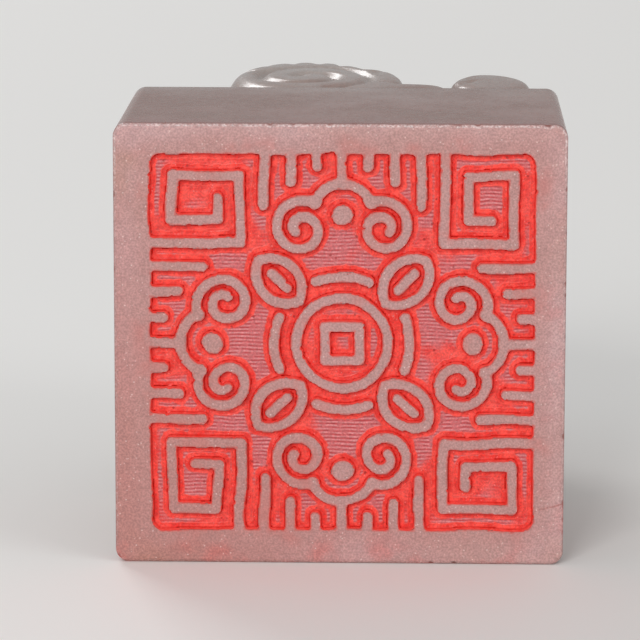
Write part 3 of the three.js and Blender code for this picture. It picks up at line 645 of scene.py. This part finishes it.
def curl(forms, grooves, at, radius, facing, turns, hand):
    """A ball with a spiral groove, like a snail's shell, round the direction that it faces: the angle
    from that direction grows evenly with the angle round it."""
    depth, width = 0.5, 0.17 * radius
    forms.append(boulder(at, (radius,) * 3, 0, 32))
    facing = np.asarray(facing, float) / np.linalg.norm(facing)
    u = np.cross(facing, (0.3, 0.5, 0.8))
    u /= np.linalg.norm(u)
    v = np.cross(facing, u)
    share = np.linspace(0, 1, 60)[:, None]
    away, round_it = 0.1 + 1.3 * share, 2 * np.pi * turns * share * hand
    line = facing * np.cos(away) + (u * np.cos(round_it) + v * np.sin(round_it)) * np.sin(away)
    grooves.append((np.asarray(at) + line * radius, depth, width))


# The beast's body: a barrel chest, a ridge of knobs with flames of fur down the back, and a plumed tail
# that lies up the rump between four curls.
body, cuts = [], []
barrel = ((-8.4, 8, 0, 6, 1.2), (-3.5, 9.2, 0, 8.4, 1.2), (2.5, 9.4, 0, 8.2, 1.1), (7.5, 9, 0, 6.8, 1.1))
body.append(limb(barrel, 72, 16))
body.append(boulder((9.2, 6.8, 0), (4.6, 7.2, 7.6), 0, 72))
body.append(boulder((-8.8, 6.8, 0), (4.4, 6.6, 7.6), 0, 72))
body.append(limb(((4.5, 11, 0, 6.4), (6.6, 14.6, 0.8, 5.4)), 48))
for x in (-6.7, -4.9, -3.1, -1.3, 0.5, 2.2):
    body.append(boulder((x, 17.75 - 0.04 * (x + 0.5) ** 2, 0), (1.0, 1.0, 1.3), 0, 24))
    for hand in (1, -1):
        flame = ((x, 17.6, 1.5), (x - 1.2, 17, 3.2), (x - 2.9, 15.8, 5.0))
        cuts.append((smooth_path(np.array(flame) * (1, 1, hand), 10), 0.35, 0.3))
plume = (
    (-12.4, 2.2, 0, 1.3, 1.2),
    (-13.1, 6, 0, 1.7, 1.3),
    (-12.6, 10, 0, 1.8, 1.4),
    (-8.9, 15.6, 0, 0.7),
)
body.append(limb(plume, 32, 12))
along_limb(cuts, plume, (220, 255, 285, 320))
for hand in (1, -1):
    curl(body, cuts, (-11.5, 4.8, hand * 5.4), 2.2, (-1, 0.1, hand * 0.6), 1.5, hand)
    curl(body, cuts, (-10.9, 10.8, hand * 4.4), 2.1, (-1, 0.5, hand * 0.7), 1.5, -hand)
    flame = ((-12.4, 7, hand * 1.6, 1), (-11.8, 7.9, hand * 4.2, 1.1), (-10.4, 7.8, hand * 6.6, 0.5))
    body.append(limb(flame, 24))
    along_limb(cuts, flame, (100, 140, 180, 220, 260), 0.3, 0.24)
    body.append(boulder((3.4, 4.2, hand * 8.8), (5.2, 4.6, 4.6), 0, 40))
for height, reach in ((10.2, 4.8), (8.2, 5.5), (6.2, 5.7), (4.2, 5.4), (2.2, 4.8)):
    bend = np.linspace(-1, 1, 60)
    chest = 13.9 - 1.5 * bend**2 - 0.035 * (height - 6.8) ** 2
    cuts.append((np.stack((chest, height - 0.6 * (1 - bend**2), bend * reach), 1), 0.35, 0.3))

# The legs: a heavy haunch with a spiral on it over a low hind foot, and a bent foreleg with its paw
# laid forward. Both flanks are alike, and every foot has three clawed toes.
HAUNCH_AT, HAUNCH_RADII = np.array((-3.0, 8.4, 10.6)), (6.3, 10.4, 7.2)
SHOULDER_RADII, SPIRAL_AT = (4.8, 6.8, 5.2), (-3.0, 7.6, 14.8)
CLAW = np.array(((0.9, 0.1, 0, 0.5), (1.5, -0.35, 0, 0.36), (1.75, -0.9, 0, 0.15)))
for hand in (1, -1):
    flip = np.array((1, 1, hand))
    body.append(boulder(HAUNCH_AT * flip, HAUNCH_RADII, 0, 96))
    body.append(boulder((1.4, 5.9, hand * 10.6), (3.1, 8.4, 7.2), 0, 64))
    foot = (
        (-2, 2.3, hand * 12.6, 2.6),
        (2.5, 2.1, hand * 13.1, 2.4, 1.2),
        (5.4, 1.7, hand * 13.2, 2.2, 1.3),
    )
    body.append(limb(foot, 40))
    body.append(boulder((-8.6, 3.2, hand * 8.8), (3.2, 4.6, 4.4), 0, 48))
    body.append(boulder((7.4, 9.4, hand * 8.2), SHOULDER_RADII, -14, 64))
    body.append(boulder((10.3, 4.4, hand * 11.2), (3.3, 6, 6.4), 4, 64))
    body.append(boulder((11.4, 1.6, hand * 11.8), (2.6, 2.3, 3.2), 0, 40))
    for toe in (-1, 0, 1):
        for root, size in (
            (np.array((6.6 - 0.4 * abs(toe), 0.9, hand * 12.8 + toe * 1.75)), 1.0),
            (np.array((12.8 - 0.5 * abs(toe), 1.15, hand * 11.7 + toe * 1.95)), 1.12),
        ):
            body.append(boulder(root, (1.35 * size, 1.3 * size, 0.98 * size), 0, 28))
            body.append(limb(CLAW + (*root, 0), 16, 5))
    share = np.linspace(0, 1, 240)
    sweep, reach = np.radians(170 - 600 * share), 0.7 + 4.4 * share**0.9
    spiral = np.stack((reach * np.cos(sweep), 1.3 * reach * np.sin(sweep), 0 * share), 1) + SPIRAL_AT
    cuts.append((spiral * flip, 0.5, 0.42))
    for lift in (0, 1, 2):
        for fur in (
            ((3.9, 3.6 + 2.1 * lift, 12.9), (2.5, 4.6 + 2.1 * lift, 14), (1.9, 6.6 + 2.1 * lift, 14.2)),
            ((7.2, 2.6 + 2 * lift, 12.0), (8.3, 3.3 + 2 * lift, 13.6), (8.9, 5 + 2 * lift, 14.2)),
        ):
            cuts.append((smooth_path(np.array(fur) * flip, 10), 0.4, 0.34))
    for start in (158, 132, 106, 80, 54):
        share = np.linspace(0, 1, 40)
        height, out = np.radians(start + 26 * share**1.5), np.radians(50 - 40 * share)
        tuft = np.stack((np.cos(height) * np.cos(out), np.sin(height) * np.cos(out), np.sin(out)), 1)
        cuts.append(((tuft * HAUNCH_RADII + HAUNCH_AT) * flip, 0.38, 0.36))
    share = np.linspace(0, 1, 110)
    sweep, away = np.radians(60 - 470 * share * hand), 0.15 + 0.75 * share
    swirl = (np.cos(sweep) * np.sin(away), np.sin(sweep) * np.sin(away), np.cos(away) * hand)
    cuts.append((np.stack(swirl, 1) * SHOULDER_RADII + (7.0, 9.8, hand * 8.2), 0.4, 0.36))

# The head: a broad muzzle with an open mouth and fangs, round eyes under curling brows, two horns laid
# back, leaf-shaped ears, a curled beard, and a mane of snail curls all round the back.
head, head_cuts = [], []
head.append(boulder((-0.4, 0.4, 0), (4.6, 4.5, 4.7), 0, 64))
head.append(limb(((1.5, -0.6, 0, 3, 1.15), (4.4, -0.8, 0, 2.3, 1.35), (6, -0.8, 0, 1.6, 1.5)), 48))
head.append(limb(((3, 2.1, 0, 1.1, 1.2), (5.2, 1.3, 0, 0.9, 1.3), (6.9, 0.7, 0, 0.8, 1.3)), 28))
head.append(boulder((7.3, 0.3, 0), (1, 0.85, 1.2), 0, 28))
head.append(boulder((3.3, 3.7, 0), (1.3, 1.1, 1.1), 0, 28))
head.append(limb(((0.6, -4, 0, 1.7, 1.9), (3.8, -4.7, 0, 1.3, 1.9), (5.9, -4.5, 0, 0.95, 2)), 40))
head.append(limb(((3, -3.4, 0, 0.9, 1.6), (5.6, -3.4, 0, 0.6, 1.9)), 28))
for rise in (0.0, 0.75, 1.5):
    edge, crest = 1.45 + rise * 0.55, 1.9 + rise * 0.55
    wrinkle = ((5.9 - rise, edge, -1), (6.0 - rise, crest, 0), (5.9 - rise, edge, 1))
    head_cuts.append((smooth_path(wrinkle, 8), 0.22, 0.2))
for z in (-1.05, -0.35, 0.35, 1.05):
    head.append(boulder((7.1 - 0.15 * abs(z), -2.45, z), (0.4, 0.5, 0.33), 0, 16))
for hand in (1, -1):
    head.append(boulder((6.2, -1.2, hand * 1.55), (1.55, 1.3, 1.6), 0, 32))
    head.append(boulder((7.15, 0.1, hand * 1.1), (0.85, 0.65, 0.62), 0, 24))
    head_cuts.append((np.array(((8.0, 0.05, hand * 0.95),)), 0.5, 0.3))
    for dot in ((7.5, -1.0, 1.1), (7.3, -1.5, 1.9), (6.7, -0.8, 2.7)):
        head_cuts.append((np.array((dot,)) * (1, 1, hand), 0.22, 0.2))
    for fang in (
        ((6.5, -2.2, hand * 2.1, 0.55), (6.7, -3.2, hand * 2.1, 0.4), (6.6, -4.0, hand * 2.05, 0.15)),
        ((5.0, -4.2, hand * 2.3, 0.45), (5.0, -3.0, hand * 2.3, 0.3), (4.9, -2.4, hand * 2.3, 0.12)),
    ):
        head.append(limb(fang, 16))
    eye = np.array((4.2, 1.75, hand * 2.35))
    look = np.array((0.86, 0.12, hand * 0.5))
    head.append(boulder(eye, (1.2, 1.2, 1.2), 0, 32))
    look /= np.linalg.norm(look)
    u = np.cross(look, (0, 1, 0))
    u /= np.linalg.norm(u)
    v = np.cross(u, look)
    angle = np.linspace(0, 2 * np.pi, 13)[:, None]
    round_eye = np.cos(angle) * u + np.sin(angle) * v
    lid = eye + look * 0.55 + round_eye * 1.25
    head.append(limb([(*point, 0.32) for point in lid], 14, 4))
    iris = eye + look * 1.05 + round_eye * 0.52
    head_cuts.append((smooth_path(iris, 4), 0.28, 0.17))
    head_cuts.append(((eye + look * 1.2)[None], 0.3, 0.22))
    brow = (
        (5.6, 2.9, hand * 0.6, 0.6),
        (4.8, 3.9, hand * 1.8, 0.95),
        (3.2, 4.2, hand * 3.4, 1),
        (1.4, 3.8, hand * 4.7, 0.6),
    )
    ear = (
        (0.4, 2.2, hand * 4.4, 0.9, 0.7),
        (-0.8, 3.4, hand * 5.6, 1.4, 0.6),
        (-2.4, 4.3, hand * 6.1, 0.4, 0.6),
    )
    horn = (
        (1.8, 4.3, hand * 1.2, 0.95),
        (-0.8, 5.6, hand * 1.5, 0.95),
        (-3.4, 5.5, hand * 1.9, 0.75),
        (-5.2, 4.6, hand * 2.1, 0.35),
    )
    for form in (brow, ear, horn):
        head.append(limb(form, 24))
    along_limb(head_cuts, brow, (50, 90, 130), 0.3, 0.22)
    along_limb(head_cuts, ear, (90,), 0.55, 0.45, 0.25)
    along_limb(head_cuts, horn, (50, 90, 130), 0.22, 0.2)
    curl(head, head_cuts, (2.2, -1.6, hand * 3.9), 1.9, (0.5, 0, hand), 1.3, hand)
    curl(head, head_cuts, (0.2, -4.0, hand * 4.1), 1.55, (0.1, -0.5, hand), 1.2, -hand)
    curl(head, head_cuts, (2.9, -5.6, hand * 2.9), 1.35, (0.4, -0.8, hand * 0.6), 1.2, hand)
    curl(head, head_cuts, (4.7, -6.0, hand * 1.15), 1.2, (0.8, -0.7, hand * 0.3), 1.2, -hand)
MANE_AT, MANE_RADIUS = (-0.7, 0.1, 0), 5.1
for away, count, radius in ((0, 1, 1.7), (38, 6, 1.65), (72, 10, 1.6)):
    lean = np.radians(away)
    for place in range(count):
        angle = 2 * np.pi * (place + 0.5) / count
        out = np.array((-np.cos(lean), np.sin(lean) * np.cos(angle), np.sin(lean) * np.sin(angle)))
        curl(head, head_cuts, MANE_AT + out * MANE_RADIUS, radius, out, 1.35, 1 if place % 2 else -1)


def head_to_body(points):
    """Points of the head's own axes turned to one side, scaled and set on the neck."""
    c, s = np.cos(np.radians(-HEAD_TURN)), np.sin(np.radians(-HEAD_TURN))
    turn = np.array(((c, 0, s), (0, 1, 0), (-s, 0, c)))
    return (np.asarray(points, float) @ turn.T) * HEAD_SCALE + HEAD_PLACE


def fused(parts, voxel):
    """One closed skin round overlapping forms: their triangles are put into one mesh, and Blender's
    voxel remesh wraps them."""
    starts = np.cumsum([0] + [len(skin) for skin, _ in parts])
    mesh = bpy.data.meshes.new("forms")
    skin = np.concatenate([skin for skin, _ in parts])
    skin = np.stack((held(skin[:, 0], BEAST_REACH), skin[:, 1], held(skin[:, 2], FLANK)), 1)
    faces = np.concatenate([faces + first for (_, faces), first in zip(parts, starts)])
    mesh.from_pydata(skin.tolist(), [], faces.tolist())
    lump = bpy.data.objects.new("forms", mesh)
    bpy.context.collection.objects.link(lump)
    wrap = lump.modifiers.new("wrap", "REMESH")
    wrap.mode, wrap.voxel_size = "VOXEL", voxel
    made = lump.evaluated_get(bpy.context.evaluated_depsgraph_get()).to_mesh()
    made.calc_loop_triangles()
    out = np.empty(len(made.vertices) * 3, np.float32)
    made.vertices.foreach_get("co", out)
    corners = np.empty(len(made.loop_triangles) * 3, np.int32)
    made.loop_triangles.foreach_get("vertices", corners)
    bpy.data.objects.remove(lump)
    return out.reshape(-1, 3).astype(float), corners.reshape(-1, 3)


def smoothed(skin, faces, times_over, strength=0.6):
    """Each point goes part of the way to the mean of its neighbours, again and again."""
    edges = np.concatenate((faces[:, :2], faces[:, 1:], faces[:, ::2]))
    edges = np.unique(np.sort(edges, 1), axis=0)
    a, b = np.concatenate((edges, edges[:, ::-1])).T
    count = np.bincount(a, minlength=len(skin))[:, None]
    for _ in range(times_over):
        mean = np.stack([np.bincount(a, skin[b, k], len(skin)) for k in range(3)], 1) / count
        skin = skin + strength * (mean - skin)
    return skin


def point_normals(skin, faces):
    """The mean direction of the triangles round each point, weighed by their areas."""
    a, b, c = skin[faces[:, 0]], skin[faces[:, 1]], skin[faces[:, 2]]
    flat = np.cross(b - a, c - a)
    totals = [np.bincount(faces.ravel(), np.repeat(flat[:, k], 3), len(skin)) for k in range(3)]
    total = np.stack(totals, 1)
    return total / np.maximum(np.linalg.norm(total, axis=1, keepdims=True), 1e-12)


def carved(skin, faces, grooves):
    """Sinks the skin along each line by depth times exp(-(distance / width) squared), where the
    distance is mostly that along the skin."""
    normals, margin = point_normals(skin, faces), 1.5
    sink = np.zeros(len(skin))
    for line, depth, width in grooves:
        near = np.flatnonzero(((skin > line.min(0) - margin) & (skin < line.max(0) + margin)).all(1))
        offset = skin[near][:, None] - line
        off_skin = (offset * normals[near][:, None]).sum(2)
        apart = np.sqrt(np.maximum((offset**2).sum(2) - 0.85 * off_skin**2, 0)).min(1)
        sink[near] = np.maximum(sink[near], depth * np.exp(-((apart / width) ** 2)))
    return skin - normals * sink[:, None]


# The forms are wrapped in one skin, smoothed and carved. They root in the block, and their highest
# point stays just inside the box of the model.
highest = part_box("seal_stone")[1][1] * 1000 - face_y * 1000 - BEAST_UP - 0.02
for name, forms, grooves, voxel in (
    ("guardian_beast_body", body, cuts, 0.216),
    (
        "guardian_beast_head",
        [(head_to_body(skin), faces) for skin, faces in head],
        [(head_to_body(line), depth, width) for line, depth, width in head_cuts],
        0.16,
    ),
):
    skin, faces = fused(forms, voxel)
    skin = smoothed(skin, faces, 5)
    skin = smoothed(carved(skin, faces, grooves), faces, 1, 0.4)
    skin[:, 1] = np.clip(skin[:, 1], -ROOT, highest)
    skin = skin * (1, 1, HEIGHT / WIDTH) + (0, BEAST_UP, BEAST_MIDDLE)
    piece(
        name,
        skin,
        faces,
        stone_material,
        "stone",
        ["seal_stone"],
        inside=np.full(len(skin), FAR_INSIDE),
        depth=np.zeros(len(skin)),
    )

# The dried seal paste in the sunken ground: thick and bright along the walls, thin and pinkish in the
# open, where the marks of the cutter show through. Each part of the ground has its own pool.
PASTE_LEVEL, PASTE_BACK, PASTE_GAP, MARK_PITCH = 0.45, 0.69, 0.02, 0.25


def paste_finish():
    """Cinnabar paste: bright along the walls with a dark foot of thicker paste and painted shade, and in
    the open patches a thin pink film, striped by the level marks of the cutter, with a slight ridge
    where the two meet."""
    material, add = node_maker("cinnabar_paste")
    where = add("TexCoord", {})["Object"]
    z = add("SeparateXYZ", {0: where})[2]
    reach = add("Attribute", {}, attribute_name="reach")["Fac"]

    # Thick red paste, the striped film of the open ground, and the ragged line where they meet.
    waver = noise(add, where, 0.7, 3)
    red = mixed(add, fade(add, waver, 0.35, 0.65), colour(234, 44, 33), colour(255, 80, 67))
    fine = noise(add, where, 0.16, 2)
    bend = times(add, noise(add, where, 2.2, 3), 9.0)
    marks = times_plus(add, z, 2 * np.pi * 1000 / MARK_PITCH, bend)
    marks = add("Math", {0: marks}, operation="SINE")[0]
    broken = times(add, marks, fade(add, noise(add, where, 0.45, 2), 0.34, 0.6, 0.1, 1))
    thin = mixed(add, fade(add, broken, -0.8, 0.8), colour(190, 66, 70), colour(222, 138, 140))
    thin = mixed(add, fade(add, waver, 0.4, 0.7, 0, 0.5), thin, colour(206, 92, 94))
    ragged = plus(add, times(add, noise(add, where, 0.5, 3), 0.24), reach)
    open_ground = fade(add, ragged, 0.5, 0.6)
    patch = fade(add, noise(add, where, 4.6, 2), 0.4, 0.5, 0.12, 1)
    share = times(add, open_ground, patch)
    tone = mixed(add, share, red, thin)

    # Speckles, a brighter rim round the open ground, glints, a darker foot of thicker paste and painted
    # shade, and a few dark specks.
    finest = fade(add, noise(add, where, 0.09, 1), 0.3, 0.7, 0.92, 1.06)
    speckled = times(add, fade(add, fine, 0.25, 0.75, 0.78, 1.14), finest)
    tone = add("VectorMath", {0: tone, "Scale": speckled}, operation="SCALE")[0]
    rim = times(add, fade(add, ragged, 0.44, 0.5), fade(add, ragged, 0.5, 0.58, 1, 0))
    tone = mixed(add, times(add, rim, 0.45), tone, colour(250, 92, 80))
    glints = add("TexVoronoi", {"Vector": where, "Scale": 1000 / 0.24})
    chosen = fade(add, noise(add, where, 0.6, 2), 0.5, 0.62)
    glint = times(add, fade(add, glints["Distance"], 0.0, 0.3, 0.75, 0), chosen)
    tone = mixed(add, glint, tone, colour(252, 150, 146))
    # Painted shade: the paste darkens at the foot of the walls, where it also lies thicker.
    foot = fade(add, reach, 0.08, 0.24, 0.75, 0)
    tone = mixed(add, foot, tone, colour(222, 38, 28))
    specks = add("TexVoronoi", {"Vector": where, "Scale": 1000 / 1.1})
    speck = fade(add, specks["Distance"], 0.05, 0.11, 0.7, 0)
    tone = mixed(add, speck, tone, colour(150, 16, 12))

    # A lumpy surface, with the cutter's marks in the open ground and the rim as a slight ridge.
    striped = times(add, times(add, broken, share), 0.5)
    height = times_plus(add, waver, 1.4, striped)
    height = times_plus(add, fine, 0.5, height)
    height = times_plus(add, rim, 0.6, height)
    relief = add("Bump", {"Strength": 0.5, "Distance": 0.00005, "Height": height})["Normal"]
    surface = add(
        "BsdfPrincipled",
        {"Base Color": tone, "Roughness": fade(add, fine, 0.3, 0.7, 0.36, 0.52), "Normal": relief},
    )[0]
    add("OutputMaterial", {"Surface": surface})
    return material


paste_material = paste_finish()

# The paste's surface uses the face's own grid. Counted from the plane of the face, it climbs the walls
# and lies lower in the open, and a flat back closes each pool.
OPEN_DROP, WALL_CLIMB = 0.035, 0.05
plan = np.concatenate((flat, cut_spot - cut_slope * PASTE_GAP))
reach = np.concatenate((np.clip(-level, 0, 3), np.full(cuts_made, WALL_SLOPE / 2 + PASTE_GAP)))
drop = OPEN_DROP * np.clip((reach - 0.45) / 0.3, 0, 1)
surface_y = PASTE_LEVEL + drop - WALL_CLIMB * np.exp(-reach / 0.12)
surface_y = surface_y + 0.006 * ripple(plan, 0.5, 21)
centre_of = (flat[squares[:, :4]].mean(1) - FIELD_CENTRE) / FIELD_STRETCH
pools = {}
for turn, corner in enumerate(("top_right", "top_left", "bottom_left", "bottom_right")):
    own = turned(centre_of, -45 - 90 * turn) - (LEAF_DISTANCE, 0)
    from_middle = np.hypot(own[:, 0], np.abs(own[:, 1]) + LEAF_ARC_RADIUS - LEAF_HALF_WIDTH)
    pools["leaf_" + corner] = from_middle < LEAF_ARC_RADIUS
pools["coin_square"] = np.abs(centre_of).max(1) < COIN_SQUARE_HALF
pools["coin_ring"] = (np.hypot(*centre_of.T) < COIN_RADIUS) & ~pools["coin_square"]
pools["ground"] = ~np.any(list(pools.values()), 0)
for pool, belongs in pools.items():
    front = low_triangles[belongs[low_square]]
    used, front = np.unique(front, return_inverse=True)
    front, shift = front.reshape(-1, 3), len(used)
    p, q = np.searchsorted(used, rims[belongs[rim_square]]).T
    upper = np.stack((plan[used, 0], surface_y[used], plan[used, 1]), 1)
    lower = np.stack((plan[used, 0], np.full(shift, PASTE_BACK), plan[used, 1]), 1)
    sides = (np.stack((p, q, q + shift), 1), np.stack((p, q + shift, p + shift), 1))
    piece(
        "dried_paste_" + pool,
        np.concatenate((upper, lower)),
        np.concatenate((front, front[:, ::-1] + shift, *sides)),
        paste_material,
        "paste",
        ["paste_" + pool],
        reach=np.tile(reach[used], 2),
    )

# The stage: a plain pale floor, a large soft lamp in front of the seal on the left, weaker ones on the
# right and behind and above it, and an even pale world.
FLOOR_REACH = 1.5
floor_mesh = bpy.data.meshes.new("floor")
corners = [(x * FLOOR_REACH, y * FLOOR_REACH, 0) for x, y in ((-1, -1), (1, -1), (1, 1), (-1, 1))]
floor_mesh.from_pydata(corners, [], [(0, 1, 2, 3)])
floor_material, add = node_maker("pale_floor")
floor_surface = add("BsdfPrincipled", {"Base Color": colour(243, 242, 240), "Roughness": 0.7})[0]
add("OutputMaterial", {"Surface": floor_surface})
floor_mesh.materials.append(floor_material)
floor = bpy.data.objects.new("floor", floor_mesh)
bpy.context.collection.objects.link(floor)


def lamp(name, place, aim, size, power):
    """A square area lamp at a place, turned to face its aim."""
    light = bpy.data.lights.new(name, "AREA")
    light.size, light.energy = size, power
    made = bpy.data.objects.new(name, light)
    made.location = place
    back = np.array(place, float) - aim
    tilt = np.arctan2(np.hypot(back[0], back[1]), back[2])
    made.rotation_euler = (tilt, 0, np.arctan2(back[0], -back[1]))
    bpy.context.collection.objects.link(made)


lamp("key_lamp", (-0.4, -1.2, 0.58), (0, 0, 0.015), 0.5, 7.6)
lamp("fill_lamp", (1.0, -0.7, 0.5), (0, 0, 0.015), 0.7, 3.0)
lamp("back_lamp", (-0.5, 1.1, 0.75), (0, 0.02, 0.015), 0.5, 4.8)
world = bpy.data.worlds.new("studio")
world.use_nodes = True
world.node_tree.nodes["Background"].inputs["Color"].default_value = (1, 1, 1, 1)
world.node_tree.nodes["Background"].inputs["Strength"].default_value = 0.44
bpy.context.scene.world = world
bpy.context.scene.view_settings.view_transform = "Standard"
